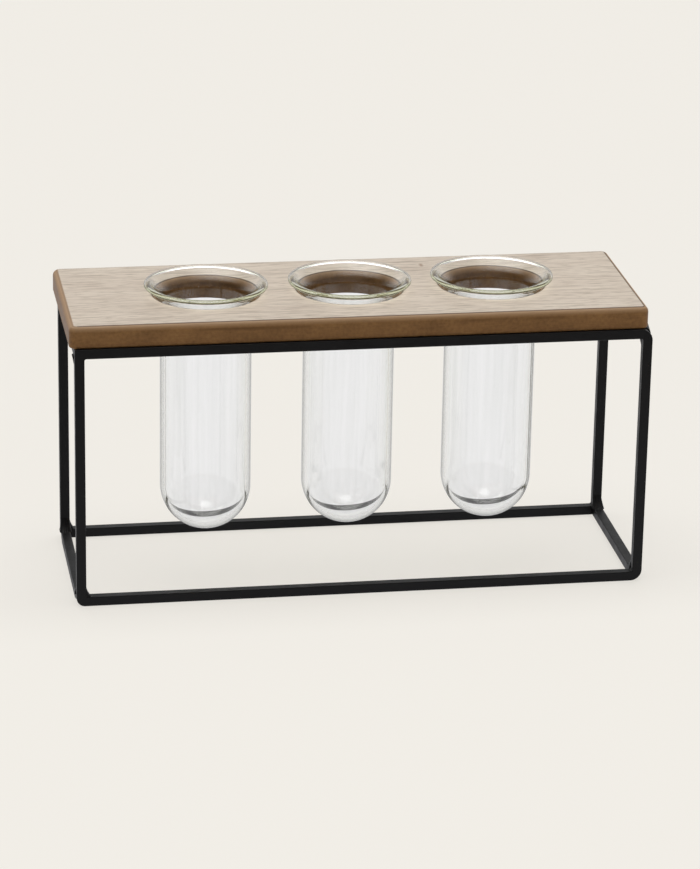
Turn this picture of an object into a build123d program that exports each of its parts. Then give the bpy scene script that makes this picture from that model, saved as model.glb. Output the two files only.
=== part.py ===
from build123d import *
import math
import os

# Test tube vase. Three flared glass tubes hang in the holes of a veneered board, and the board is
# screwed to a stand welded from square bar. Millimetres, +Z up. The origin is on the floor under
# the middle of the stand, +X runs along its length to the right and +Y to the rear.

# Stand of square bar
STAND_LENGTH = 250.0          # outside, along X
STAND_WIDTH = 84.0            # outside, front to rear
STAND_HEIGHT = 117.0          # floor to the top of the bars
BAR = 4.2                     # side of the bar, with its coat
BAR_EDGE = 0.4                # rounding along the bar's edges
RIGHT_BEND = 5.0              # outer radius of both right-hand bends of a loop
LEFT_BEND = 3.6               # outer radius of a loop's lower left corner
GROUND_CORNER = 0.8           # outer radius of a loop's upper left corner
INNER_BEND = 0.8              # radius inside every corner of a loop
GRIND_LENGTH = 6.0            # end of a crossbar that is ground to follow the loop's corner

# Fillet welds between crossbars and uprights
WELD_RISE = 5.5               # along the upright
WELD_RUN = 5.0                # along the crossbar
WELD_HOLLOW = 0.4             # dip of the bead's sloping face
WELD_PROUD = 0.6              # overlap of the bead's foot past each side of the bar

# Fillet welds inside the lower left corners of the loops
LOOP_WELD_RISE = 5.0          # along the upright
LOOP_WELD_RUN = 2.0           # along the lower bar

# Corner tabs under the board, and their screws
TAB_LEG = 18.0                # length along each bar
TAB_TIP = 4.0                 # blunt end of each leg
TAB_THICKNESS = 1.5
TAB_HOLE_INSET = 6.0          # hole centre from the inner faces of both bars
SCREW_RADIUS = 1.5
SCREW_CLEARANCE = 0.2         # round the shank in the tab
SCREW_BITE = 6.5              # length of shank in the board
SCREW_POINT = 1.4             # length of the tapered end
SCREW_TIP_RADIUS = 0.5
SCREW_HEAD_RADIUS = 2.9
SCREW_HEAD_HEIGHT = 2.0
SCREW_HEAD_DOME = 0.9         # rounding of the head's rim
PILOT_CLEARANCE = 0.05        # round the shank in the board
PILOT_SPARE = 0.8             # drilled past the point

# Board: a fibreboard core with a veneer on top
BOARD_OVERHANG = 0.25         # how much longer it is than the stand, at each end
BOARD_INSET = 0.25            # how much narrower it is than the stand, at each side
CORE_THICKNESS = 9.0
VENEER_THICKNESS = 0.6
BOARD_CORNER = 3.2            # rounding of the corners, seen from above
BOARD_ROUND = 2.5             # round-over of the upper edges, also round the holes
BOARD_EASE = 0.8              # rounding of the lower edges
BOARD_SHIFT_X = -1.8          # the board sits a little left of the middle of the stand
BOARD_SHIFT_Y = 1.2           # and a little to the rear
HOLE_PITCH = 63.0
HOLE_CLEARANCE = 1.7          # round a tube in its hole
ROW_SHIFT = 0.8               # the row of holes lies a little right of the middle of the board

# Glass tubes
TUBE_NAMES = ("left", "middle", "right")
TUBE_RADIUS = 20.0
TUBE_LENGTH = 113.1           # bottom to rim
TUBE_WALL = 2.0
TUBE_BOTTOM = 2.0             # glass at the lowest point
FLARE_REACH = 6.9             # of the rim past the tube's outside
FLARE_BEND = 4.5              # outer radius between the straight tube and its conical mouth
FLARE_ANGLE = 45.0            # of the cone to the tube's axis, in degrees
CURL_RADIUS = 2.3             # of the mouth's inside, where it curls over to the rim
CURL_ANGLE = 43.0             # that the inside turns through there, in degrees
LIP_PROUD = 0.9               # of the rim's melted edge, past the outside of the cone
SEAT_CLEARANCE = 0.2          # square to the cone, to the rounded edge of its hole

# Places that follow from the sizes above
BOARD_LENGTH = STAND_LENGTH + 2 * BOARD_OVERHANG
BOARD_WIDTH = STAND_WIDTH - 2 * BOARD_INSET
BOARD_THICKNESS = CORE_THICKNESS + VENEER_THICKNESS
BOARD_TOP = STAND_HEIGHT + BOARD_THICKNESS
HOLE_RADIUS = TUBE_RADIUS + HOLE_CLEARANCE
LEAN = math.radians(FLARE_ANGLE)
CONE_OUT = Vector(math.cos(LEAN), -math.sin(LEAN))
CONE_UP = Vector(math.sin(LEAN), math.cos(LEAN))
UPRIGHT_X = STAND_LENGTH / 2 - BAR / 2
LOOP_Y = STAND_WIDTH / 2 - BAR / 2
INNER_X = STAND_LENGTH / 2 - BAR
INNER_Y = STAND_WIDTH / 2 - BAR
SCREW_X = INNER_X - TAB_HOLE_INSET
SCREW_Y = INNER_Y - TAB_HOLE_INSET
TUBE_PLACES = [
    (BOARD_SHIFT_X + ROW_SHIFT + step * HOLE_PITCH, BOARD_SHIFT_Y)
    for step in (-1, 0, 1)
]


def bent_outline(length, height, right_radius, foot_radius, head_radius):
    """A rectangle, rounded at the right, at the lower left foot and at the upper left head."""
    outline = Rectangle(length, height)
    outline = fillet(outline.vertices().group_by(Axis.X)[-1], right_radius)
    left = outline.vertices().group_by(Axis.X)[0].sort_by(Axis.Y)
    outline = fillet(left[0], foot_radius)
    left = outline.vertices().group_by(Axis.X)[0].sort_by(Axis.Y)
    return fillet(left[-1], head_radius)


def loop():
    """An upright rectangle of one bar: bent at the right, welded and ground at the left."""
    outside = bent_outline(STAND_LENGTH, STAND_HEIGHT, RIGHT_BEND, LEFT_BEND, GROUND_CORNER)
    inside = RectangleRounded(STAND_LENGTH - 2 * BAR, STAND_HEIGHT - 2 * BAR, INNER_BEND)
    ring = extrude(Plane.XZ * (outside - inside), BAR / 2, both=True)
    faces = ring.faces().sort_by(Axis.Y)
    ring = fillet(faces[0].edges() + faces[-1].edges(), BAR_EDGE)
    return Pos(0, 0, STAND_HEIGHT / 2) * ring


def crossbar_section(outer_round):
    """The square of a bar, with its lower right corner rounded more than the others."""
    section = Rectangle(BAR, BAR)
    outer = section.vertices().group_by(Axis.X)[-1].sort_by(Axis.Y)[0]
    section = fillet(outer, outer_round)
    upper = section.vertices().group_by(Axis.Y)[-1]
    lower = section.vertices().group_by(Axis.X)[0].sort_by(Axis.Y)[0]
    return fillet(upper + [lower], BAR_EDGE)


def crossbar(loop_corner):
    """The lower right bar between the loops, its outer edge ground round towards both ends."""
    plain = crossbar_section(BAR_EDGE)
    ground = crossbar_section(min(loop_corner, BAR - 2 * BAR_EDGE))
    reach = INNER_Y - GRIND_LENGTH
    middle = extrude(Plane.XZ * plain, reach, both=True)
    front = loft([Plane.XZ.offset(reach) * plain, Plane.XZ.offset(INNER_Y) * ground], ruled=True)
    bar = middle + front + mirror(front, about=Plane.XZ)
    return Pos(UPRIGHT_X, 0, BAR / 2) * bar


def crossbar_weld():
    """The bead on top of the lower right crossbar, against the rear upright, wider at its foot."""
    corner = Vector(INNER_Y, BAR)
    rise = corner + Vector(0, WELD_RISE)
    run = corner - Vector(WELD_RUN, 0)
    slope = (run - rise).normalized()
    dip = (rise + run) / 2 + Vector(-slope.Y, slope.X) * WELD_HOLLOW
    section = make_face([Line(corner, rise), ThreePointArc(rise, dip, run), Line(run, corner)])
    foot = BAR / 2 + WELD_PROUD
    bead = extrude(Plane.YZ * section, foot, both=True)
    front = Polyline(
        (-foot, BAR),
        (foot, BAR),
        (BAR / 2, BAR + WELD_RISE),
        (-BAR / 2, BAR + WELD_RISE),
        close=True,
    )
    bead &= extrude(Plane.XZ * make_face(front), INNER_Y, both=True)
    return Pos(UPRIGHT_X, 0, 0) * bead


def loop_weld():
    """The bead in the lower left corner of a loop, between the rounded edges of its bar."""
    corner = Vector(-INNER_X, BAR)
    rise = corner + Vector(0, LOOP_WELD_RISE)
    run = corner + Vector(LOOP_WELD_RUN, 0)
    bend = corner + Vector(INNER_BEND, INNER_BEND)
    section = make_face(
        [
            CenterArc(bend, INNER_BEND, 180, 90),
            Line(corner + Vector(INNER_BEND, 0), run),
            Line(run, rise),
            Line(rise, corner + Vector(0, INNER_BEND)),
        ]
    )
    return extrude(Plane.XZ * section, BAR / 2 - BAR_EDGE, both=True)


def tab():
    """A plate welded into the rear right corner of the stand's top, drilled for one screw."""
    outline = Polyline(
        (INNER_X, INNER_Y),
        (INNER_X, INNER_Y - TAB_LEG),
        (INNER_X - TAB_TIP, INNER_Y - TAB_LEG),
        (INNER_X - TAB_LEG, INNER_Y - TAB_TIP),
        (INNER_X - TAB_LEG, INNER_Y),
        close=True,
    )
    hole = Pos(SCREW_X, SCREW_Y) * Circle(SCREW_RADIUS + SCREW_CLEARANCE)
    plate = extrude(make_face(outline) - hole, TAB_THICKNESS, dir=(0, 0, 1))
    return Pos(0, 0, STAND_HEIGHT - TAB_THICKNESS) * plate


def screw():
    """A pan-head wood screw, head down, with its seat at z = 0."""
    shank_length = TAB_THICKNESS + SCREW_BITE
    body_length = shank_length - SCREW_POINT
    head = Pos(0, 0, -SCREW_HEAD_HEIGHT / 2) * Cylinder(SCREW_HEAD_RADIUS, SCREW_HEAD_HEIGHT)
    head = fillet(head.edges().sort_by(Axis.Z)[0], SCREW_HEAD_DOME)
    shank = Pos(0, 0, body_length / 2) * Cylinder(SCREW_RADIUS, body_length)
    point = Cone(SCREW_RADIUS, SCREW_TIP_RADIUS, SCREW_POINT)
    point = Pos(0, 0, body_length + SCREW_POINT / 2) * point
    return head + shank + point


def board():
    """The core and the veneer: one rounded panel, bored for the tubes, parted at the glue line."""
    outline = Pos(BOARD_SHIFT_X, BOARD_SHIFT_Y) * RectangleRounded(BOARD_LENGTH, BOARD_WIDTH, BOARD_CORNER)
    for x, y in TUBE_PLACES:
        outline -= Pos(x, y) * Circle(HOLE_RADIUS)
    panel = Pos(0, 0, STAND_HEIGHT) * extrude(outline, BOARD_THICKNESS, dir=(0, 0, 1))
    faces = panel.faces().sort_by(Axis.Z)
    panel = fillet(faces[-1].edges(), BOARD_ROUND)
    faces = panel.faces().sort_by(Axis.Z)
    panel = fillet(faces[0].edges(), BOARD_EASE)
    glue_line = Plane.XY.offset(STAND_HEIGHT + CORE_THICKNESS)
    core = split(panel, bisect_by=glue_line, keep=Keep.BOTTOM)
    veneer = split(panel, bisect_by=glue_line, keep=Keep.TOP)
    depth = SCREW_BITE + PILOT_SPARE
    for side in (-1, 1):
        for end in (-1, 1):
            pilot = Cylinder(SCREW_RADIUS + PILOT_CLEARANCE, depth)
            core -= Pos(side * SCREW_X, end * SCREW_Y, STAND_HEIGHT + depth / 2) * pilot
    return core, veneer


def rim():
    """The melted edge's radius, the centres of edge and curl, and the cone's outer and inner ends."""
    turn = math.radians(CURL_ANGLE)
    edge_radius = (TUBE_WALL + LIP_PROUD - CURL_RADIUS * (1 - math.cos(turn))) / (1 + math.cos(turn))
    edge = Vector(TUBE_RADIUS + FLARE_REACH - edge_radius, TUBE_LENGTH - edge_radius)
    inside = Vector(-math.cos(LEAN + turn), math.sin(LEAN + turn))
    curl = edge - inside * (CURL_RADIUS - edge_radius)
    sunk = edge_radius - LIP_PROUD
    outer_end = edge + CONE_OUT * sunk - CONE_UP * math.sqrt(edge_radius**2 - sunk**2)
    inner_end = curl - CONE_OUT * CURL_RADIUS
    return edge_radius, edge, curl, outer_end, inner_end


def tube():
    """A round-bottomed glass tube with a conical mouth and a curled rim, standing on z = 0."""
    bore = TUBE_RADIUS - TUBE_WALL
    inner_foot = TUBE_BOTTOM + bore
    edge_radius, edge, curl, outer_end, inner_end = rim()
    bend_x = TUBE_RADIUS + FLARE_BEND
    cone_start = bend_x - FLARE_BEND * math.cos(LEAN)
    outer_start = outer_end - CONE_UP * ((outer_end.X - cone_start) / math.sin(LEAN))
    inner_start = outer_start - CONE_OUT * TUBE_WALL
    bend_z = outer_start.Y - FLARE_BEND * math.sin(LEAN)
    edge_start = math.degrees(math.atan2(outer_end.Y - edge.Y, outer_end.X - edge.X))
    curl_start = 180 - FLARE_ANGLE - CURL_ANGLE
    section = make_face(
        [
            CenterArc((0, TUBE_RADIUS), TUBE_RADIUS, -90, 90),
            Line((TUBE_RADIUS, TUBE_RADIUS), (TUBE_RADIUS, bend_z)),
            CenterArc((bend_x, bend_z), FLARE_BEND, 180, -FLARE_ANGLE),
            Line(outer_start, outer_end),
            CenterArc(edge, edge_radius, edge_start, curl_start - edge_start),
            CenterArc(curl, CURL_RADIUS, curl_start, CURL_ANGLE),
            Line(inner_end, inner_start),
            CenterArc((bend_x, bend_z), FLARE_BEND + TUBE_WALL, 180 - FLARE_ANGLE, FLARE_ANGLE),
            Line((bore, bend_z), (bore, inner_foot)),
            CenterArc((0, inner_foot), bore, 0, -90),
            Line((0, TUBE_BOTTOM), (0, 0)),
        ]
    )
    return revolve(Plane.XZ * section, Axis.Z)


def tube_height():
    """Height of a tube's bottom when its cone hangs on the rounded edge of its hole."""
    outer_end = rim()[3]
    reach = BOARD_ROUND + SEAT_CLEARANCE
    across = HOLE_RADIUS + BOARD_ROUND - outer_end.X
    return BOARD_TOP - BOARD_ROUND - outer_end.Y + (reach - across * math.cos(LEAN)) / math.sin(LEAN)


def mirrored(shape, planes):
    """The shape, mirrored about each plane in turn."""
    for plane in planes:
        shape = mirror(shape, about=plane)
    return shape


nodes = {}
for name, side in (("rear", 1), ("front", -1)):
    nodes[f"{name}_loop"] = Pos(0, side * LOOP_Y, 0) * loop()
    nodes[f"{name}_loop_weld"] = Pos(0, side * LOOP_Y, 0) * loop_weld()

# What repeats in the corners is drawn once, and mirrored to the others
MID_HEIGHT = Plane.XY.offset(STAND_HEIGHT / 2)
crossbars = {
    "bottom_right": (RIGHT_BEND, []),
    "bottom_left": (LEFT_BEND, [Plane.YZ]),
    "top_right": (RIGHT_BEND, [MID_HEIGHT]),
    "top_left": (GROUND_CORNER, [Plane.YZ, MID_HEIGHT]),
}
for name, (loop_corner, planes) in crossbars.items():
    nodes[f"{name}_crossbar"] = mirrored(crossbar(loop_corner), planes)

corners = {
    "rear_right": [],
    "rear_left": [Plane.YZ],
    "front_right": [Plane.XZ],
    "front_left": [Plane.YZ, Plane.XZ],
}
for name, planes in corners.items():
    nodes[f"bottom_{name}_weld"] = mirrored(crossbar_weld(), planes)
    nodes[f"top_{name}_weld"] = mirrored(crossbar_weld(), planes + [MID_HEIGHT])
    nodes[f"{name}_tab"] = mirrored(tab(), planes)

screw_places = [(x, y) for x in (-SCREW_X, SCREW_X) for y in (-SCREW_Y, SCREW_Y)]
seat = STAND_HEIGHT - TAB_THICKNESS
nodes["board_screws"] = Compound([Pos(x, y, seat) * screw() for x, y in screw_places])

nodes["board_core"], nodes["top_veneer"] = board()

for name, (x, y) in zip(TUBE_NAMES, TUBE_PLACES):
    nodes[f"tube_{name}"] = Pos(x, y, tube_height()) * tube()

os.makedirs("parts", exist_ok=True)
for name, shape in nodes.items():
    export_step(shape, f"parts/{name}.step")
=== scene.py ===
import math

import bmesh
import bpy
from mathutils import Matrix, Vector


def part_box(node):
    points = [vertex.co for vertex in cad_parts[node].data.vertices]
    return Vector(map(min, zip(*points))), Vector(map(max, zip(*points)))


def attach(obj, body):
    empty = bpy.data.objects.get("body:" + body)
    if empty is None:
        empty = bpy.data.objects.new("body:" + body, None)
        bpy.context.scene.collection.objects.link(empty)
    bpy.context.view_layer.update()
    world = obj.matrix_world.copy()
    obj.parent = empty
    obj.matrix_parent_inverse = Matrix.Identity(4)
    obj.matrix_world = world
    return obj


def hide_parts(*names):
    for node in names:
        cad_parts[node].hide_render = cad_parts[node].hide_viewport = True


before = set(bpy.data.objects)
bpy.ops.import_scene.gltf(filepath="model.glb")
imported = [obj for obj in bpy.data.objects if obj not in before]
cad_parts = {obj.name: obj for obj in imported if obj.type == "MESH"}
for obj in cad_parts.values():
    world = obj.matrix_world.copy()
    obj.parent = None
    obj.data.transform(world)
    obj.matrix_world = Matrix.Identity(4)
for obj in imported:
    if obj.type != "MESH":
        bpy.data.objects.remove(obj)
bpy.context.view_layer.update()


# Stand bars. Two upright loops of square steel bar and the four crossbars between them, welded and
# then sprayed with a satin black powder coat, which leaves a faint orange-peel skin.

MM = 0.001
COAT_DARK = (0.0046, 0.0046, 0.0048, 1)
COAT_LIGHT = (0.0086, 0.0086, 0.0088, 1)
COAT_ROUGHNESS = (0.38, 0.52)
COAT_SPECULAR = 0.20
COAT_CLOUD = 9 * MM           # spacing of the slow changes of tone
COAT_PEEL = 0.9 * MM          # spacing of the orange peel
COAT_PEEL_DETAIL = 1.0
COAT_PEEL_HEIGHT = 0.02 * MM
BLOTCH_DETAIL = 2.0
BLOTCH_SPREAD = (0.3, 0.7)    # part of the noise that is stretched over the blotches' range


def feed(tree, node, inputs):
    """Sets inputs of a node. Each value is a plain value, or a socket to link it to."""
    for name, value in inputs.items():
        if isinstance(value, bpy.types.NodeSocket):
            tree.links.new(value, node.inputs[name])
        else:
            node.inputs[name].default_value = value


def place(tree, kind, inputs=None, **settings):
    """Adds a node to a tree, with its settings and its inputs."""
    node = tree.nodes.new(kind)
    for name, value in settings.items():
        setattr(node, name, value)
    feed(tree, node, inputs or {})
    return node


def compute(tree, operation, first, second):
    """One step of arithmetic with two values."""
    return place(tree, "ShaderNodeMath", {0: first, 1: second}, operation=operation).outputs[0]


def ranged(tree, value, low, high, start=0.0, end=1.0):
    """A value spread from start..end to low..high."""
    spread = place(tree, "ShaderNodeMapRange", {
        "Value": value, "From Min": start, "From Max": end, "To Min": low, "To Max": high})
    return spread.outputs["Result"]


def blend(tree, value, low, high):
    """A colour between two, by a value from 0 to 1. Each colour is plain, or comes from a socket."""
    return place(tree, "ShaderNodeMix", {0: value, 6: low, 7: high}, data_type="RGBA").outputs[2]


def bumped(tree, height, depth, strength=1.0):
    """A normal from a height value of 0 to 1 over a depth in metres."""
    bump = place(tree, "ShaderNodeBump", {"Height": height, "Distance": depth, "Strength": strength})
    return bump.outputs["Normal"]


def surface_point(tree):
    """Where a point of a piece lies, in the piece's own frame."""
    return place(tree, "ShaderNodeTexCoord").outputs["Object"]


def new_group(name, inputs, output, kind="NodeSocketFloat"):
    """An empty shader group: number inputs, given with their defaults, and one output."""
    group = bpy.data.node_groups.new(name, "ShaderNodeTree")
    for socket, value in inputs.items():
        made = group.interface.new_socket(socket, in_out="INPUT", socket_type="NodeSocketFloat")
        made.default_value = value
    group.interface.new_socket(output, in_out="OUTPUT", socket_type=kind)
    return group, place(group, "NodeGroupInput").outputs


def blotch_group():
    """Even blotches of a given spacing, as on a sprayed coat or a stained edge."""
    group, given = new_group("blotches", {"Spacing": MM, "Detail": BLOTCH_DETAIL}, "Blotch")
    noise = place(group, "ShaderNodeTexNoise", {
        "Vector": surface_point(group),
        "Scale": compute(group, "DIVIDE", 1.0, given["Spacing"]),
        "Detail": given["Detail"],
    })
    spread = ranged(group, noise.outputs["Fac"], 0.0, 1.0, *BLOTCH_SPREAD)
    place(group, "NodeGroupOutput", {"Blotch": spread})
    return group


BLOTCHES = blotch_group()


def blotch(tree, spacing, detail=BLOTCH_DETAIL):
    """The blotch value of a material's surface at one spacing."""
    inputs = {"Spacing": spacing, "Detail": detail}
    return place(tree, "ShaderNodeGroup", inputs, node_tree=BLOTCHES).outputs["Blotch"]


def new_material(name):
    """A material with its tree and its Principled shader."""
    material = bpy.data.materials.new(name)
    material.use_nodes = True
    return material, material.node_tree, material.node_tree.nodes["Principled BSDF"]


def coat_material():
    """Satin black powder coat."""
    material, tree, shader = new_material("satin_black_coat")
    cloud = blotch(tree, COAT_CLOUD)
    peel = blotch(tree, COAT_PEEL, COAT_PEEL_DETAIL)
    feed(tree, shader, {
        "Base Color": blend(tree, cloud, COAT_DARK, COAT_LIGHT),
        "Roughness": ranged(tree, cloud, *COAT_ROUGHNESS),
        "Normal": bumped(tree, peel, COAT_PEEL_HEIGHT),
        "Specular IOR Level": COAT_SPECULAR,
    })
    return material


def dress(material, *names):
    """Gives CAD nodes a material."""
    for name in names:
        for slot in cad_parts[name].material_slots:
            slot.material = material


BLACK_COAT = coat_material()
LEVELS = ("bottom", "top")
SIDES = ("left", "right")
ENDS = ("front", "rear")
dress(BLACK_COAT, *[f"{end}_loop" for end in ENDS])
dress(BLACK_COAT, *[f"{level}_{side}_crossbar" for level in LEVELS for side in SIDES])


# Weld beads. A short fillet of weld metal in each corner where a crossbar meets an upright, and a
# slimmer one in each loop's lower left corner. They are filed smooth and sprayed with the stand.

BEAD_HOLLOW = 0.4 * MM        # dip of the sloping face
BEAD_PUDDLES = 3              # faint swells across the bar
BEAD_SWELL = 0.02             # height of a swell, as a share of the section
BEAD_END_SHARE = 0.6          # size of the bead's section at its very ends
BEAD_FULLNESS = 3             # power that keeps the section full until close to the ends
BEAD_SHARP = math.radians(50)       # from this angle on, an edge stays crisp
BEAD_STATIONS = 36
BEAD_SLOPE_STEPS = 12


def skin(body, rings):
    """Joins each ring of points to the next one with four-cornered faces."""
    for ring, following in zip(rings, rings[1:]):
        for i in range(len(ring)):
            j = (i + 1) % len(ring)
            body.faces.new((ring[i], ring[j], following[j], following[i]))


def finished(body, name):
    """The mesh of a closed body, with its faces pointing outwards."""
    bmesh.ops.recalc_face_normals(body, faces=body.faces)
    mesh = bpy.data.meshes.new(name)
    body.to_mesh(mesh)
    body.free()
    return mesh


def smoothed(mesh, sharp):
    """The mesh, shaded smooth between its sharp edges."""
    mesh.shade_smooth()
    mesh.set_sharp_from_angle(angle=sharp)
    return mesh


def bead_mesh(rise, run, top_width, foot_width):
    """One bead: the bar's face is z = 0, the upright's face is y = 0, and it runs towards -y."""
    bead = bmesh.new()
    rings = []
    for station in range(BEAD_STATIONS + 1):
        along = 2 * station / BEAD_STATIONS - 1
        dome = (1 - abs(along) ** BEAD_FULLNESS) ** 0.5
        swell = BEAD_SWELL * math.sin(math.pi * BEAD_PUDDLES * along) ** 2
        size = BEAD_END_SHARE + (1 - BEAD_END_SHARE) * dome - swell
        ring = [bead.verts.new((along * foot_width / 2, 0, 0))]
        for step in range(BEAD_SLOPE_STEPS + 1):
            down = step / BEAD_SLOPE_STEPS
            dip = BEAD_HOLLOW * math.sin(math.pi * down) / math.hypot(rise, run)
            x = along * (top_width + (foot_width - top_width) * down) / 2
            y = -run * down + rise * dip
            z = rise * (1 - down) - run * dip
            ring.append(bead.verts.new((x, min(size * y, 0), max(size * z, 0))))
        rings.append(ring)
    skin(bead, rings)
    bead.faces.new(rings[0])
    bead.faces.new(rings[-1])
    return smoothed(finished(bead, "bead"), BEAD_SHARP)


def setting_tree():
    """Geometry nodes that set copies of one piece on points, turned as each point's turn says."""
    tree = bpy.data.node_groups.new("set_on_points", "GeometryNodeTree")
    for name, kind in (("Points", "NodeSocketGeometry"), ("Piece", "NodeSocketObject"),
                       ("Finish", "NodeSocketMaterial")):
        tree.interface.new_socket(name, in_out="INPUT", socket_type=kind)
    tree.interface.new_socket("Geometry", in_out="OUTPUT", socket_type="NodeSocketGeometry")
    given = place(tree, "NodeGroupInput").outputs
    piece = place(tree, "GeometryNodeObjectInfo", {"Object": given["Piece"]})
    turn = place(tree, "GeometryNodeInputNamedAttribute", {"Name": "turn"}, data_type="FLOAT_VECTOR")
    rotation = place(tree, "FunctionNodeEulerToRotation", {"Euler": turn.outputs["Attribute"]})
    copies = place(tree, "GeometryNodeInstanceOnPoints", {
        "Points": given["Points"],
        "Instance": piece.outputs["Geometry"],
        "Rotation": rotation.outputs["Rotation"],
    })
    real = place(tree, "GeometryNodeRealizeInstances", {"Geometry": copies.outputs["Instances"]})
    coated = place(tree, "GeometryNodeSetMaterial", {
        "Geometry": real.outputs["Geometry"], "Material": given["Finish"]})
    place(tree, "NodeGroupOutput", {"Geometry": coated.outputs["Geometry"]})
    return tree


SET_ON_POINTS = setting_tree()


def put(name, data):
    """A new object in the scene, at the origin."""
    made = bpy.data.objects.new(name, data)
    bpy.context.scene.collection.objects.link(made)
    return made


def plain_mesh(made):
    """The mesh of an object once its modifiers have run."""
    return bpy.data.meshes.new_from_object(made.evaluated_get(bpy.context.evaluated_depsgraph_get()))


def set_copies(name, piece_mesh, places, material):
    """One plain mesh object holding a copy of a piece at each place, given as (point, turn)."""
    piece = put(name + "_single", piece_mesh)
    points = bpy.data.meshes.new(name + "_points")
    points.from_pydata([point for point, turn in places], [], [])
    turns = points.attributes.new("turn", "FLOAT_VECTOR", "POINT")
    for row, (point, turn) in zip(turns.data, places):
        row.vector = turn
    holder = put(name + "_holder", points)
    modifier = holder.modifiers.new("set_on_points", "NODES")
    modifier.node_group = SET_ON_POINTS
    sockets = {item.name: item.identifier for item in SET_ON_POINTS.interface.items_tree
               if item.in_out == "INPUT"}
    modifier[sockets["Piece"]] = piece
    modifier[sockets["Finish"]] = material
    mesh = plain_mesh(holder)
    mesh.name = name
    for made in (holder, piece):
        bpy.data.objects.remove(made)
    return put(name, mesh)


WELD_NODES = [f"{level}_{end}_{side}_weld" for level in LEVELS for end in ENDS for side in SIDES]
WELD_TURNS = {
    ("bottom", "rear"): (0, 0, 0),
    ("bottom", "front"): (0, 0, math.pi),
    ("top", "rear"): (0, math.pi, 0),
    ("top", "front"): (math.pi, 0, 0),
}


def weld_corner(node):
    """The corner that a weld fills, and the turn that brings a bead into it."""
    low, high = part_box(node)
    level, end = node.split("_")[:2]
    y = high.y if end == "rear" else low.y
    z = low.z if level == "bottom" else high.z
    return ((low.x + high.x) / 2, y, z), WELD_TURNS[level, end]


bar_low, bar_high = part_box("bottom_right_crossbar")
weld_low, weld_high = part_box("bottom_rear_right_weld")
weld_size = weld_high - weld_low
weld_beads = set_copies(
    "weld_beads",
    bead_mesh(weld_size.z, weld_size.y, bar_high.x - bar_low.x, weld_size.x),
    [weld_corner(node) for node in WELD_NODES],
    BLACK_COAT,
)
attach(weld_beads, "stand")
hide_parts(*WELD_NODES)

LOOP_WELD_NODES = [f"{end}_loop_weld" for end in ENDS]
LOOP_WELD_TURN = (0, 0, math.pi / 2)
loop_weld_places = []
for node in LOOP_WELD_NODES:
    weld_low, weld_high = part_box(node)
    weld_size = weld_high - weld_low
    loop_weld_places.append(((weld_low.x, (weld_low.y + weld_high.y) / 2, weld_low.z), LOOP_WELD_TURN))
loop_weld_beads = set_copies(
    "loop_weld_beads",
    bead_mesh(weld_size.z, weld_size.x, weld_size.y, weld_size.y),
    loop_weld_places,
    BLACK_COAT,
)
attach(loop_weld_beads, "stand")
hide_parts(*LOOP_WELD_NODES)


# Corner tabs. Small steel plates welded flush into the stand's upper corners, under the board, and
# coated with it.

dress(BLACK_COAT, *[f"{end}_{side}_tab" for end in ENDS for side in SIDES])


# Board screws. Four zinc-plated pan-head wood screws, driven up through the tabs into the board,
# with a cross recess in the head.

SCREW_RADIUS = 1.5 * MM
SCREW_CORE = 1.05 * MM        # radius between the threads
SCREW_PITCH = 1.3 * MM
THREAD_SHARE = 0.5            # part of the pitch that the thread takes up
SCREW_POINT = 1.4 * MM
SCREW_TIP = 0.15              # size of the section at the very point
SCREW_HEAD_RADIUS = 2.9 * MM
SCREW_HEAD_HEIGHT = 2.0 * MM
SCREW_HEAD_DOME = 0.9 * MM
SCREW_SHARP = math.radians(35)      # from this angle on, an edge stays crisp
RECESS_WIDTH = 0.8 * MM
RECESS_LENGTH = 3.4 * MM
RECESS_DEPTH = 1.0 * MM
RECESS_TAPER = (0.45, 0.7)    # share of the length and width that is left at the bottom
DRIVE_TURNS = (0.4, 1.1, 2.0, 2.9)  # how far each screw was turned, in radians
SCREW_TURNS = 48              # points round the screw
THREAD_STEP = 0.1 * MM
DOME_STEPS = 6
WELDED = 0.001 * MM           # points closer than this become one
ZINC_PALE = (0.62, 0.62, 0.60, 1)
ZINC_DULL = (0.42, 0.42, 0.41, 1)
ZINC_SPACING = 1.2 * MM
ZINC_ROUGHNESS = (0.26, 0.42)


def screw_rows(length):
    """Rows of (radius, height) round a screw, from the middle of its head to its point."""
    rows = [[(0.0, -SCREW_HEAD_HEIGHT)] * SCREW_TURNS]
    flat = SCREW_HEAD_RADIUS - SCREW_HEAD_DOME
    for step in range(DOME_STEPS + 1):
        turn = math.pi / 2 * step / DOME_STEPS
        radius = flat + SCREW_HEAD_DOME * math.sin(turn)
        height = -SCREW_HEAD_HEIGHT + SCREW_HEAD_DOME * (1 - math.cos(turn))
        rows.append([(radius, height)] * SCREW_TURNS)
    rows.append([(SCREW_HEAD_RADIUS, 0.0)] * SCREW_TURNS)
    for level in range(round(length / THREAD_STEP) + 1):
        z = level * THREAD_STEP
        taper = min(1.0, (length - z) / SCREW_POINT + SCREW_TIP)
        row = []
        for i in range(SCREW_TURNS):
            phase = (z / SCREW_PITCH - i / SCREW_TURNS) % 1.0
            crest = max(0.0, 1 - abs(phase - 0.5) / (THREAD_SHARE / 2))
            row.append((taper * (SCREW_CORE + (SCREW_RADIUS - SCREW_CORE) * crest), z))
        rows.append(row)
    rows.append([(0.0, length)] * SCREW_TURNS)
    return rows


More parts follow.
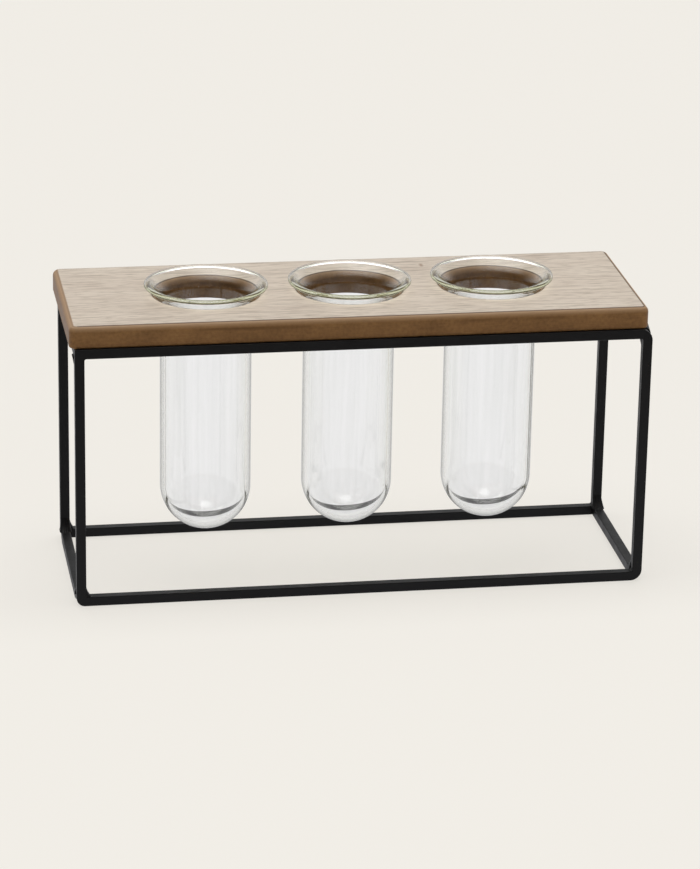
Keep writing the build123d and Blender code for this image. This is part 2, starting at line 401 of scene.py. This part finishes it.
def screw_mesh(length):
    """A screw with its seat at z = 0, its head below and its threaded shank above."""
    screw = bmesh.new()
    rings = []
    for row in screw_rows(length):
        ring = []
        for i, (radius, z) in enumerate(row):
            angle = 2 * math.pi * i / SCREW_TURNS
            ring.append(screw.verts.new((radius * math.cos(angle), radius * math.sin(angle), z)))
        rings.append(ring)
    skin(screw, rings)
    bmesh.ops.remove_doubles(screw, verts=screw.verts, dist=WELDED)
    return finished(screw, "screw")


def recess_cutter(angle):
    """One arm of the cross recess: a bar across the head, narrower towards its bottom."""
    arm = bmesh.new()
    bmesh.ops.create_cube(arm, size=1)
    bmesh.ops.scale(arm, vec=(RECESS_LENGTH, RECESS_WIDTH, 2 * RECESS_DEPTH), verts=arm.verts)
    for vert in arm.verts:
        if vert.co.z > 0:
            vert.co.x *= RECESS_TAPER[0]
            vert.co.y *= RECESS_TAPER[1]
    bmesh.ops.rotate(arm, matrix=Matrix.Rotation(angle, 3, "Z"), verts=arm.verts)
    bmesh.ops.translate(arm, vec=(0, 0, -SCREW_HEAD_HEIGHT), verts=arm.verts)
    return put("recess", finished(arm, "recess"))


def cut_recess(mesh):
    """The screw's mesh with a cross recess cut into its head."""
    screw = put("screw", mesh)
    cutters = [recess_cutter(angle) for angle in (0, math.pi / 2)]
    for cutter in cutters:
        screw.modifiers.new("recess", "BOOLEAN").object = cutter
    result = plain_mesh(screw)
    for made in (screw, *cutters):
        bpy.data.objects.remove(made)
    return smoothed(result, SCREW_SHARP)


def zinc_material():
    """Zinc plate, dull in patches."""
    material, tree, shader = new_material("zinc_plate")
    dull = blotch(tree, ZINC_SPACING)
    feed(tree, shader, {
        "Base Color": blend(tree, dull, ZINC_PALE, ZINC_DULL),
        "Roughness": ranged(tree, dull, *ZINC_ROUGHNESS),
        "Metallic": 1.0,
    })
    return material


screw_low, screw_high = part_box("board_screws")
screw_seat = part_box("front_left_tab")[0].z
screw_seats = [
    (x, y, screw_seat)
    for x in (screw_low.x + SCREW_HEAD_RADIUS, screw_high.x - SCREW_HEAD_RADIUS)
    for y in (screw_low.y + SCREW_HEAD_RADIUS, screw_high.y - SCREW_HEAD_RADIUS)
]
board_screws = set_copies(
    "cross_head_screws",
    cut_recess(screw_mesh(screw_high.z - screw_seat)),
    [(seat, (0, 0, turn)) for seat, turn in zip(screw_seats, DRIVE_TURNS)],
    zinc_material(),
)
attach(board_screws, "stand")
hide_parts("board_screws")


# Board core. A dense fibreboard panel, rounded over along its upper edges and round its holes, and
# stained brown under a thin satin lacquer. Near the top the stain is painted paler, as painted light
# on the round-overs and the holes' upper walls.

BOARD_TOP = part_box("top_veneer")[1].z
ROUND_OVER = 2.5 * MM
STAIN_DEEP = (0.163, 0.079, 0.0265, 1)
STAIN_PALE = (0.322, 0.165, 0.059, 1)
# painted light: the paler stain near the board's top, where the round-overs face the light
STAIN_LIT_TOP = (0.450, 0.288, 0.162, 1)
STAIN_ROUGHNESS = (0.40, 0.52)
STAIN_SPECULAR = 0.18
STAIN_CLOUD = 14 * MM         # spacing of the slow changes of tone
STAIN_MOTTLE = 1.5 * MM       # spacing of the fine ones
STREAK_SHARE = 0.4            # how much the fibres count in the tone
MOTTLE_SHARE = 0.4            # how much the fine mottle counts
STAIN_DARK_BAND = (0.120, 0.055, 0.020, 1)
DARK_BAND_DEPTHS = (2.0 * MM, 2.9 * MM, 4.4 * MM)    # top, middle and foot of the broken dark band in the stain
DARK_BAND_LENGTH = 38 * MM         # of the stretches in which the band shows
DARK_BAND_WIDTH = 5 * MM
DARK_BAND_BREAKS = (0.45, 0.85)    # streak values at which the band starts and is full
DARK_BAND_STRENGTH = 0.7
FIBRE_LENGTH = 7 * MM
FIBRE_WIDTH = 0.5 * MM
FIBRE_HEIGHT = 0.03 * MM
FIBRE_BUMP = 0.5
FIBRE_DETAIL = 3.0
FIBRE_SPREAD = (0.28, 0.72)   # part of the noise that is stretched over the fibres' range


def fibre_group():
    """Streaks along the board's length, of a given length and width."""
    sizes = {"Length": FIBRE_LENGTH, "Width": FIBRE_WIDTH, "Detail": FIBRE_DETAIL}
    group, given = new_group("fibres", sizes, "Fibre")
    along, across = [compute(group, "DIVIDE", 1.0, given[size]) for size in ("Length", "Width")]
    stretch = place(group, "ShaderNodeCombineXYZ", {"X": along, "Y": across, "Z": across})
    drawn = place(group, "ShaderNodeVectorMath", {
        0: surface_point(group), 1: stretch.outputs[0]}, operation="MULTIPLY")
    noise = place(group, "ShaderNodeTexNoise", {
        "Vector": drawn.outputs[0], "Scale": 1.0, "Detail": given["Detail"]})
    spread = ranged(group, noise.outputs["Fac"], 0.0, 1.0, *FIBRE_SPREAD)
    place(group, "NodeGroupOutput", {"Fibre": spread})
    return group


FIBRES = fibre_group()


def fibre(tree, length, width):
    """The fibre value of a material's surface at one length and width."""
    inputs = {"Length": length, "Width": width, "Detail": FIBRE_DETAIL}
    return place(tree, "ShaderNodeGroup", inputs, node_tree=FIBRES).outputs["Fibre"]


def depth_group():
    """How far a point of a piece lies under its top."""
    group, given = new_group("depth_under_top", {"Top": 0.0}, "Depth")
    height = place(group, "ShaderNodeSeparateXYZ", {0: surface_point(group)}).outputs["Z"]
    place(group, "NodeGroupOutput", {"Depth": compute(group, "SUBTRACT", given["Top"], height)})
    return group


DEPTHS = depth_group()


def board_depth(tree):
    """How far a point of a material's surface lies under the board's top."""
    return place(tree, "ShaderNodeGroup", {"Top": BOARD_TOP}, node_tree=DEPTHS).outputs["Depth"]


def averaged(tree, first, second, share):
    """A value between two others: share is how much the second one counts."""
    return place(tree, "ShaderNodeMix", {0: share, 2: first, 3: second}, data_type="FLOAT").outputs[0]


def stain_group():
    """The stain's colour: mottled, with a broken dark band, and painted paler near the top as painted
    light on the round-overs.
    """
    group, given = new_group("brown_stain", {"Streak": 0.0, "Depth": 0.0}, "Colour", "NodeSocketColor")
    depth = given["Depth"]
    tone = averaged(group, blotch(group, STAIN_CLOUD), given["Streak"], STREAK_SHARE)
    tone = averaged(group, tone, blotch(group, STAIN_MOTTLE), MOTTLE_SHARE)
    top, middle, foot = DARK_BAND_DEPTHS
    upper = ranged(group, depth, 0.0, 1.0, top, middle)
    lower = ranged(group, depth, 1.0, 0.0, middle, foot)
    broken = ranged(group, fibre(group, DARK_BAND_LENGTH, DARK_BAND_WIDTH), 0.0, DARK_BAND_STRENGTH, *DARK_BAND_BREAKS)
    dark_band = compute(group, "MULTIPLY", compute(group, "MULTIPLY", upper, lower), broken)
    stain = blend(group, dark_band, blend(group, tone, STAIN_DEEP, STAIN_PALE), STAIN_DARK_BAND)
    # painted light: the stain turns paler over the round-over's depth under the top, on the
    # round-overs and the holes' upper walls
    lit_top = ranged(group, depth, 1.0, 0.0, 0.0, ROUND_OVER)
    place(group, "NodeGroupOutput", {"Colour": blend(group, lit_top, stain, STAIN_LIT_TOP)})
    return group


BROWN_STAIN = stain_group()


def stain_colour(tree, streak, depth):
    """The colour of the stain on a material's surface."""
    inputs = {"Streak": streak, "Depth": depth}
    return place(tree, "ShaderNodeGroup", inputs, node_tree=BROWN_STAIN).outputs["Colour"]


def stain_material():
    """Brown stain over fibreboard, under a satin lacquer."""
    material, tree, shader = new_material("brown_stain")
    streak = fibre(tree, FIBRE_LENGTH, FIBRE_WIDTH)
    feed(tree, shader, {
        "Base Color": stain_colour(tree, streak, board_depth(tree)),
        "Roughness": ranged(tree, streak, *STAIN_ROUGHNESS),
        "Normal": bumped(tree, streak, FIBRE_HEIGHT, FIBRE_BUMP),
        "Specular IOR Level": STAIN_SPECULAR,
    })
    return material


dress(stain_material(), "board_core")


# Top veneer. A pale sheet of open-grained wood, glued on with its grain along the board under a matt
# lacquer. Where the round-over cuts it, it is stained like the core, with a dark line at the border.

VENEER_PALE = (0.722, 0.632, 0.522, 1)
VENEER_MID = (0.580, 0.481, 0.391, 1)
VENEER_GRAIN = (0.29, 0.226, 0.168, 1)
VENEER_ROUGHNESS = (0.48, 0.62)
VENEER_SPECULAR = 0.3
BAND_LENGTH = 150 * MM        # slow bands of early and late wood
BAND_WIDTH = 7 * MM
LINE_LENGTH = 20 * MM         # dark grain lines
LINE_WIDTH = 1.35 * MM
LINE_SHARE = 0.5              # how much the lines count in the ground's tone
LINE_DARK = 0.58              # how dark the darkest lines get
PORE_LENGTH = 7 * MM          # open pores
PORE_WIDTH = 0.75 * MM
PORE_DARK = 0.62
PORE_DEPTH = 0.05 * MM
PORE_FULL = 0.4               # darkness at which a pore reaches its depth
PORE_BUMP = 0.5
GRAIN_START = 0.55            # fibre value at which a line or pore starts
KNOT_PLACE = (35.8 * MM, 29.4 * MM)
KNOT_REACH = (1.3 * MM, 3.2 * MM)
KNOT_CORE = 0.2               # share of the reach that is evenly dark
KNOT_STRENGTH = 0.75
KNOT_DARK = (0.27, 0.165, 0.105, 1)
BORDER_DEPTHS = (0.008 * MM, 0.05 * MM)     # drop of the round-over where the stain starts
BORDER_END = 0.32 * MM        # drop where the dark border line ends
BORDER_DARK = (0.075, 0.042, 0.018, 1)
BORDER_LEFT_FADE = 0.7             # how much of the line fades out at the left end


def knot_share(tree):
    """How much of a point's colour is the knot's."""
    off = place(tree, "ShaderNodeVectorMath", {
        0: surface_point(tree), 1: (*KNOT_PLACE, BOARD_TOP)}, operation="SUBTRACT")
    steps = place(tree, "ShaderNodeVectorMath", {
        0: off.outputs[0], 1: (*KNOT_REACH, 1.0)}, operation="DIVIDE")
    way = place(tree, "ShaderNodeVectorMath", {0: steps.outputs[0]}, operation="LENGTH")
    return ranged(tree, way.outputs["Value"], KNOT_STRENGTH, 0.0, KNOT_CORE, 1.0)


def border_colour(tree, streak, depth):
    """The stained edge of the veneer, from the dark border line outwards."""
    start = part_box("top_veneer")[0].x + ROUND_OVER
    along = place(tree, "ShaderNodeSeparateXYZ", {0: surface_point(tree)}).outputs["X"]
    left_fade = ranged(tree, along, BORDER_LEFT_FADE, 0.0, start, start + BORDER_END)
    past_line = ranged(tree, depth, 0.0, 1.0, BORDER_DEPTHS[1], BORDER_END)
    past_line = compute(tree, "MAXIMUM", past_line, left_fade)
    return blend(tree, past_line, BORDER_DARK, stain_colour(tree, streak, depth))


def veneer_material():
    """Pale veneer with bands, grain lines, pores and a knot."""
    material, tree, shader = new_material("pale_veneer")
    band = fibre(tree, BAND_LENGTH, BAND_WIDTH)
    line = fibre(tree, LINE_LENGTH, LINE_WIDTH)
    pore = fibre(tree, PORE_LENGTH, PORE_WIDTH)
    dark_line = ranged(tree, line, 0.0, LINE_DARK, GRAIN_START, 1.0)
    dark_pore = ranged(tree, pore, 0.0, PORE_DARK, GRAIN_START, 1.0)
    grain = compute(tree, "MAXIMUM", dark_line, dark_pore)
    wood = blend(tree, averaged(tree, band, line, LINE_SHARE), VENEER_PALE, VENEER_MID)
    wood = blend(tree, grain, wood, VENEER_GRAIN)
    wood = blend(tree, knot_share(tree), wood, KNOT_DARK)
    depth = board_depth(tree)
    past_border = ranged(tree, depth, 0.0, 1.0, *BORDER_DEPTHS)
    hollow = ranged(tree, grain, 1.0, 0.0, 0.0, PORE_FULL)
    feed(tree, shader, {
        "Base Color": blend(tree, past_border, wood, border_colour(tree, line, depth)),
        "Roughness": ranged(tree, pore, *VENEER_ROUGHNESS),
        "Normal": bumped(tree, hollow, PORE_DEPTH, PORE_BUMP),
        "Specular IOR Level": VENEER_SPECULAR,
    })
    return material


dress(veneer_material(), "top_veneer")


# Glass tubes. Three round-bottomed tubes of clear soda-lime glass, drawn, flared at the mouth over a
# former, curled over and fire-polished at the rim. Each hangs by its flare on the edge of its hole.

TUBE_RADIUS = 20.0 * MM
TUBE_WALL = 2.0 * MM
TUBE_BOTTOM = 2.0 * MM
RIM_RADIUS = 26.9 * MM
FLARE_BEND = 4.5 * MM         # outside of the bend under the flare
FLARE_ANGLE = math.radians(45)      # between the cone and the axis
CURL_RADIUS = 2.3 * MM        # of the mouth's inside, where it curls over to the rim
CURL_ANGLE = math.radians(70)
LIP_PROUD = 0.6 * MM          # of the melted edge, past the outside of the cone
TUBE_TURNS = 240              # points round a tube
BOWL_STEPS = 40
WALL_STEPS = 10
FLARE_STEPS = 24
LIP_STEPS = 24
CURL_STEPS = 16
GLASS_INDEX = 1.47
GLASS_ROUGHNESS = 0.0
GLASS_TINT = (1.0, 1.0, 1.0, 1)
GLASS_DRAWN = (0.945, 0.949, 0.944, 1)      # in the faint lines that drawing leaves along the tube
DRAWN_WIDTH = 2.6 * MM
DRAWN_LENGTH = 60 * MM
DRAWN_DETAIL = 3.0
DRAWN_SPREAD = (0.36, 0.70)   # part of the noise that is stretched over the lines' range
GLASS_PAINTED_SHADE = (0.10, 0.11, 0.10, 1)          # painted shade: the dark outline, where the wall is seen edge-on
GLASS_EDGE = (0.58, 0.83)     # share of the way to edge-on where the outline starts and is full
GLASS_GREEN = (0.86, 0.90, 0.67, 1)
GLASS_DENSITY = 24.0          # green of the thick rim, per metre
TRAPPED_TURNS = 1.5           # reflections inside the glass before light is let out
TRAPPED_TINT = (0.80, 0.785, 0.69, 1)       # of the light that is let out
SHADOW_TINT = (0.95, 0.955, 0.945, 1)       # of the light that goes straight through


def arc(centre, radius, start, end, steps):
    """Points on an arc, angles in radians."""
    turn = (end - start) / steps
    angles = [start + turn * i for i in range(steps + 1)]
    return [(centre[0] + radius * math.cos(a), centre[1] + radius * math.sin(a)) for a in angles]


def straight(start, end, steps):
    """Points between two others, without the ends."""
    return [
        tuple(a + (b - a) * i / steps for a, b in zip(start, end))
        for i in range(1, steps)
    ]


def tube_profile(length):
    """Half section of a tube, from its lowest point outside, over the rim, to the lowest inside."""
    bore = TUBE_RADIUS - TUBE_WALL
    out = Vector((math.cos(FLARE_ANGLE), -math.sin(FLARE_ANGLE)))     # square to the cone
    along = Vector((math.sin(FLARE_ANGLE), math.cos(FLARE_ANGLE)))    # up the cone
    curled = CURL_RADIUS * (1 - math.cos(CURL_ANGLE))
    edge_radius = (TUBE_WALL + LIP_PROUD - curled) / (1 + math.cos(CURL_ANGLE))
    curl_start = math.pi - FLARE_ANGLE - CURL_ANGLE
    turned = (CURL_RADIUS - edge_radius) * Vector((math.cos(curl_start), math.sin(curl_start)))
    curl = Vector((RIM_RADIUS - edge_radius - turned.x, length - CURL_RADIUS))
    edge = curl + turned
    sunk = edge_radius - LIP_PROUD
    outer_end = edge + sunk * out - math.sqrt(edge_radius ** 2 - sunk ** 2) * along
    edge_start = math.atan2(outer_end.y - edge.y, outer_end.x - edge.x)
    bend_x = TUBE_RADIUS + FLARE_BEND
    cone_length = (outer_end.x - bend_x + FLARE_BEND * out.x) / along.x
    bend = (bend_x, outer_end.y - cone_length * along.y + FLARE_BEND * out.y)
    inner_bend = FLARE_BEND + TUBE_WALL
    mouth = math.pi - FLARE_ANGLE
    inner_foot = TUBE_BOTTOM + bore
    outside = arc((0, TUBE_RADIUS), TUBE_RADIUS, -math.pi / 2, 0, BOWL_STEPS)
    outside += straight((TUBE_RADIUS, TUBE_RADIUS), (TUBE_RADIUS, bend[1]), WALL_STEPS)
    outside += arc(bend, FLARE_BEND, math.pi, mouth, FLARE_STEPS)
    outside += straight(outside[-1], outer_end, WALL_STEPS)
    rim = arc(edge, edge_radius, edge_start, curl_start, LIP_STEPS)
    rim += arc(curl, CURL_RADIUS, curl_start, mouth, CURL_STEPS)[1:]
    inside = arc(bend, inner_bend, mouth, math.pi, FLARE_STEPS)
    inside = straight(rim[-1], inside[0], WALL_STEPS) + inside
    inside += straight((bore, bend[1]), (bore, inner_foot), WALL_STEPS)
    inside += arc((0, inner_foot), bore, 0, -math.pi / 2, BOWL_STEPS)
    return outside + rim + inside


def tube_mesh(name, centre, bottom, length):
    """A tube turned from its half section, closed at both poles."""
    glass = bmesh.new()
    profile = tube_profile(length)
    rings = []
    for radius, z in profile[1:-1]:
        ring = []
        for i in range(TUBE_TURNS):
            angle = 2 * math.pi * i / TUBE_TURNS
            x = centre[0] + radius * math.cos(angle)
            y = centre[1] + radius * math.sin(angle)
            ring.append(glass.verts.new((x, y, bottom + z)))
        rings.append(ring)
    skin(glass, rings)
    poles = [glass.verts.new((*centre, bottom + profile[end][1])) for end in (0, -1)]
    for i in range(TUBE_TURNS):
        j = (i + 1) % TUBE_TURNS
        glass.faces.new((poles[0], rings[0][j], rings[0][i]))
        glass.faces.new((poles[1], rings[-1][i], rings[-1][j]))
    mesh = finished(glass, name)
    mesh.shade_smooth()
    return mesh


def drawn_tint(tree):
    """The clear glass's tint, with the faint lines along the tube."""
    stretch = (1 / DRAWN_WIDTH, 1 / DRAWN_WIDTH, 1 / DRAWN_LENGTH)
    drawn = place(tree, "ShaderNodeVectorMath", {
        0: surface_point(tree), 1: stretch}, operation="MULTIPLY")
    noise = place(tree, "ShaderNodeTexNoise", {
        "Vector": drawn.outputs[0], "Scale": 1.0, "Detail": DRAWN_DETAIL})
    line = ranged(tree, noise.outputs["Fac"], 0.0, 1.0, *DRAWN_SPREAD)
    return blend(tree, line, GLASS_TINT, GLASS_DRAWN)


def glass_material():
    """Clear glass with a painted dark outline where it is first seen, and green where it is thick."""
    material, tree, shader = new_material("clear_glass")
    path = place(tree, "ShaderNodeLightPath").outputs
    facing = place(tree, "ShaderNodeLayerWeight", {"Blend": 0.5}).outputs["Facing"]
    # painted shade: the base colour darkens where the wall is first seen edge-on, for camera rays only
    edge_on = ranged(tree, facing, 0.0, 1.0, *GLASS_EDGE)
    outline = compute(tree, "MULTIPLY", edge_on, path["Is Camera Ray"])
    feed(tree, shader, {
        "Base Color": blend(tree, outline, drawn_tint(tree), GLASS_PAINTED_SHADE),
        "Roughness": GLASS_ROUGHNESS,
        "IOR": GLASS_INDEX,
        "Transmission Weight": 1.0,
    })
    let_out = blend(tree, path["Is Shadow Ray"], TRAPPED_TINT, SHADOW_TINT)
    clear = place(tree, "ShaderNodeBsdfTransparent", {"Color": let_out})
    trapped = compute(tree, "GREATER_THAN", path["Glossy Depth"], TRAPPED_TURNS)
    through = compute(tree, "MAXIMUM", path["Is Shadow Ray"], trapped)
    seen = place(tree, "ShaderNodeMixShader", {
        0: through, 1: shader.outputs["BSDF"], 2: clear.outputs["BSDF"]})
    green = place(tree, "ShaderNodeVolumeAbsorption", {"Color": GLASS_GREEN, "Density": GLASS_DENSITY})
    feed(tree, tree.nodes["Material Output"], {"Surface": seen.outputs[0], "Volume": green.outputs[0]})
    return material


CLEAR_GLASS = glass_material()
for tube_place in ("left", "middle", "right"):
    tube_low, tube_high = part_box(f"tube_{tube_place}")
    tube_centre = ((tube_low.x + tube_high.x) / 2, (tube_low.y + tube_high.y) / 2)
    tube_name = f"glass_{tube_place}"
    tube_length = tube_high.z - tube_low.z
    tube_glass = put(tube_name, tube_mesh(tube_name, tube_centre, tube_low.z, tube_length))
    tube_glass.data.materials.append(CLEAR_GLASS)
    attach(tube_glass, f"{tube_place}_tube")
    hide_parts(f"tube_{tube_place}")


# Floor and light. A cream paper floor that runs on past the view, a broad soft light overhead and a
# dimmer room round it.

FLOOR_HALF = 30.0
CREAM = (0.885, 0.855, 0.798, 1)
NEUTRAL = (0.885, 0.883, 0.926, 1)     # the floor as the glass shows it
FRONT = (0.22, 0.17, 0.125, 1)         # the floor towards the room, in reflections
FRONT_EDGE = (-0.40, -0.30)            # where the paper ends in front, past the view
FLOOR_GLOW = (0.72, 0.96)     # share of the floor's colour that no shadow touches, inside and in front
FLOOR_OPEN = (-0.038, -0.082)          # from the front bar to the open floor
WHITE = (1, 1, 1, 1)
ROOM_LEVEL = 0.28             # light from the dark front of the room
BACKDROP_LEVEL = 0.55         # what the paper adds where it rises behind the vase
BACKDROP_REACH = (0.15, 0.70)       # how far to the rear, as a share of the look direction
BACKDROP_HEIGHTS = (0.30, 0.65)
LEFT_LEVEL = -0.23            # what the left side of the room takes away
LEFT_REACH = (0.30, 0.90)
SOFTBOX_LEVEL = 2.35          # what the softbox overhead adds
SOFTBOX_INNER = math.radians(24)
SOFTBOX_OUTER = math.radians(40)
SOFTBOX_AIM = Vector((-0.05, 0.24, 0.97)).normalized()


def floor_material():
    """Matt cream paper, evenly bright where it is looked at, with a soft shadow."""
    material, tree, shader = new_material("cream_floor")
    feed(tree, shader, {"Base Color": CREAM, "Roughness": 1.0, "Specular IOR Level": 0.0})
    path = place(tree, "ShaderNodeLightPath").outputs
    mirrored = compute(tree, "MAXIMUM", path["Is Transmission Ray"], path["Is Glossy Ray"])
    seen = compute(tree, "MAXIMUM", path["Is Camera Ray"], mirrored)
    rearward = place(tree, "ShaderNodeSeparateXYZ", {0: surface_point(tree)}).outputs["Y"]
    in_glass = blend(tree, ranged(tree, rearward, 1.0, 0.0, *FRONT_EDGE), NEUTRAL, FRONT)
    glow = place(tree, "ShaderNodeEmission", {
        "Color": blend(tree, mirrored, CREAM, in_glass), "Strength": 1.0})
    unshaded = ranged(tree, rearward, *FLOOR_GLOW, *FLOOR_OPEN)
    paper = place(tree, "ShaderNodeMixShader", {
        0: compute(tree, "MULTIPLY", seen, unshaded),
        1: shader.outputs["BSDF"],
        2: glow.outputs["Emission"],
    })
    feed(tree, tree.nodes["Material Output"], {"Surface": paper.outputs[0]})
    return material


floor_mesh = bpy.data.meshes.new("floor")
floor_mesh.from_pydata(
    [(x * FLOOR_HALF, y * FLOOR_HALF, 0) for x, y in ((-1, -1), (1, -1), (1, 1), (-1, 1))],
    [],
    [(0, 1, 2, 3)],
)
floor_mesh.materials.append(floor_material())
floor = put("floor", floor_mesh)

world = bpy.data.worlds.new("studio")
bpy.context.scene.world = world
world.use_nodes = True
sky = world.node_tree
look = place(sky, "ShaderNodeTexCoord").outputs["Generated"]
look_parts = place(sky, "ShaderNodeSeparateXYZ", {0: look}).outputs


def sky_ramp(value, start, end, low, high):
    """A smooth step of light from low to high."""
    step = place(sky, "ShaderNodeMapRange", {
        "Value": value, "From Min": start, "From Max": end, "To Min": low, "To Max": high},
        interpolation_type="SMOOTHSTEP")
    return step.outputs["Result"]


behind = sky_ramp(look_parts["Y"], *BACKDROP_REACH, 0.0, BACKDROP_LEVEL)
backdrop = compute(sky, "MULTIPLY", behind, sky_ramp(look_parts["Z"], *BACKDROP_HEIGHTS, 1.0, 0.0))
leftward = compute(sky, "MULTIPLY", look_parts["X"], -1.0)
dim_left = sky_ramp(leftward, *LEFT_REACH, 0.0, LEFT_LEVEL)
aim = place(sky, "ShaderNodeVectorMath", {0: look, 1: SOFTBOX_AIM}, operation="DOT_PRODUCT")
softbox_edge = (math.cos(SOFTBOX_OUTER), math.cos(SOFTBOX_INNER))
softbox = sky_ramp(aim.outputs["Value"], *softbox_edge, 0.0, SOFTBOX_LEVEL)
sides = compute(sky, "ADD", backdrop, dim_left)
light = compute(sky, "ADD", sides, compute(sky, "ADD", softbox, ROOM_LEVEL))
feed(sky, sky.nodes["Background"], {"Color": WHITE, "Strength": light})

bpy.context.scene.view_settings.view_transform = "Standard"


# Camera. A long lens, a little to the left of the vase and above it, as in the photograph. Its angles
# and place come from a fit to the stand's edges.

IMAGE_HEIGHT = 869            # pixels
FOCAL_PIXELS = 3669.7
SENSOR_WIDTH = 36
CAMERA_YAW = math.radians(9.61)
CAMERA_PITCH = math.radians(20.34)
CAMERA_ROLL = math.radians(-1.05)
CAMERA_PLACE = Vector((-253.67, -1499.65, 622.42)) * MM
CAMERA_REACH = (0.05, 100)    # nearest and farthest that it sees

ahead = Vector((
    math.sin(CAMERA_YAW) * math.cos(CAMERA_PITCH),
    math.cos(CAMERA_YAW) * math.cos(CAMERA_PITCH),
    -math.sin(CAMERA_PITCH),
))
level_right = Vector((math.cos(CAMERA_YAW), -math.sin(CAMERA_YAW), 0))
level_down = ahead.cross(level_right)
right = math.cos(CAMERA_ROLL) * level_right + math.sin(CAMERA_ROLL) * level_down
up = right.cross(ahead)
lens = bpy.data.cameras.new("camera")
lens.sensor_width = SENSOR_WIDTH
lens.lens = FOCAL_PIXELS / IMAGE_HEIGHT * SENSOR_WIDTH
lens.clip_start, lens.clip_end = CAMERA_REACH
camera = put("camera", lens)
turned = Matrix((right, up, -ahead)).transposed().to_4x4()
camera.matrix_world = Matrix.Translation(CAMERA_PLACE) @ turned
bpy.context.scene.camera = camera
